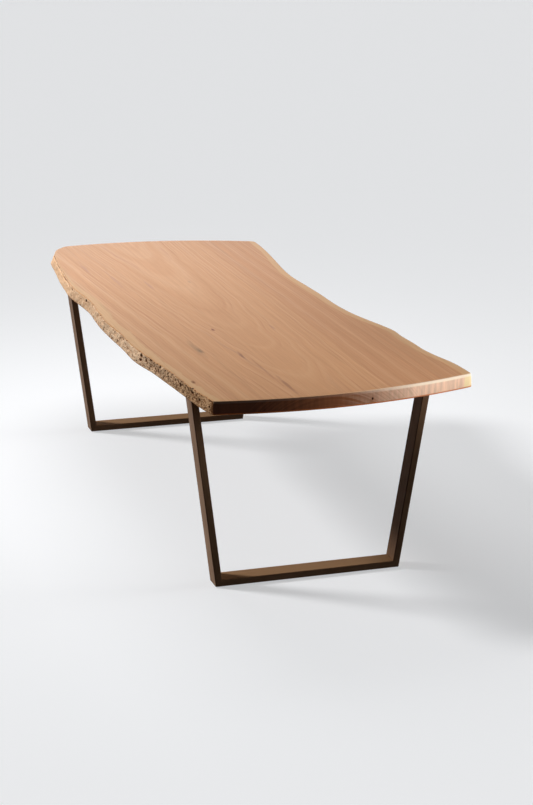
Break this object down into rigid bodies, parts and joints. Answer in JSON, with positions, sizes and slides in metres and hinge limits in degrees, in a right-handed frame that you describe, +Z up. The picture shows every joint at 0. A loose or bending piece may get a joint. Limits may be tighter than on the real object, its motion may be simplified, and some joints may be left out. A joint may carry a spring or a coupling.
{
  "type": "dining table",
  "caption": "Live-edge hardwood slab dining table with bowed ends on two bronze-painted trapezoid frames of flat rectangular steel tube.",
  "frame": {"origin": "on the floor under the middle of the slab's box", "axes": "+X along the slab to its near end, +Y across it to the smooth live edge on the right of the picture, +Z up"},
  "size_m": [2.364, 1.0444, 0.75],
  "materials": {
    "slab_wood": "satin oiled hardwood with pale sapwood on the live edges",
    "bronze_paint": "satin dark bronze paint on steel",
    "zinc_fastener": "bright zinc plate",
    "brass_insert": "plain turned brass",
    "black_glide": "matte black plastic glide"
  },
  "bodies": {
    "root": {"slab_top": "slab_wood", "near_left_leg": "bronze_paint", "near_right_leg": "bronze_paint", "near_floor_bar": "bronze_paint", "near_top_plate": "bronze_paint", "far_left_leg": "bronze_paint", "far_right_leg": "bronze_paint", "far_floor_bar": "bronze_paint", "far_top_plate": "bronze_paint", "near_insert_1": "brass_insert", "near_insert_2": "brass_insert", "near_insert_3": "brass_insert", "near_insert_4": "brass_insert", "far_insert_1": "brass_insert", "far_insert_2": "brass_insert", "far_insert_3": "brass_insert", "far_insert_4": "brass_insert", "near_washer_1": "zinc_fastener", "near_washer_2": "zinc_fastener", "near_washer_3": "zinc_fastener", "near_washer_4": "zinc_fastener", "far_washer_1": "zinc_fastener", "far_washer_2": "zinc_fastener", "far_washer_3": "zinc_fastener", "far_washer_4": "zinc_fastener", "near_bolt_1": "zinc_fastener", "near_bolt_2": "zinc_fastener", "near_bolt_3": "zinc_fastener", "near_bolt_4": "zinc_fastener", "far_bolt_1": "zinc_fastener", "far_bolt_2": "zinc_fastener", "far_bolt_3": "zinc_fastener", "far_bolt_4": "zinc_fastener", "near_left_glide": "black_glide", "near_right_glide": "black_glide", "far_left_glide": "black_glide", "far_right_glide": "black_glide"}
  },
  "joints": []
}
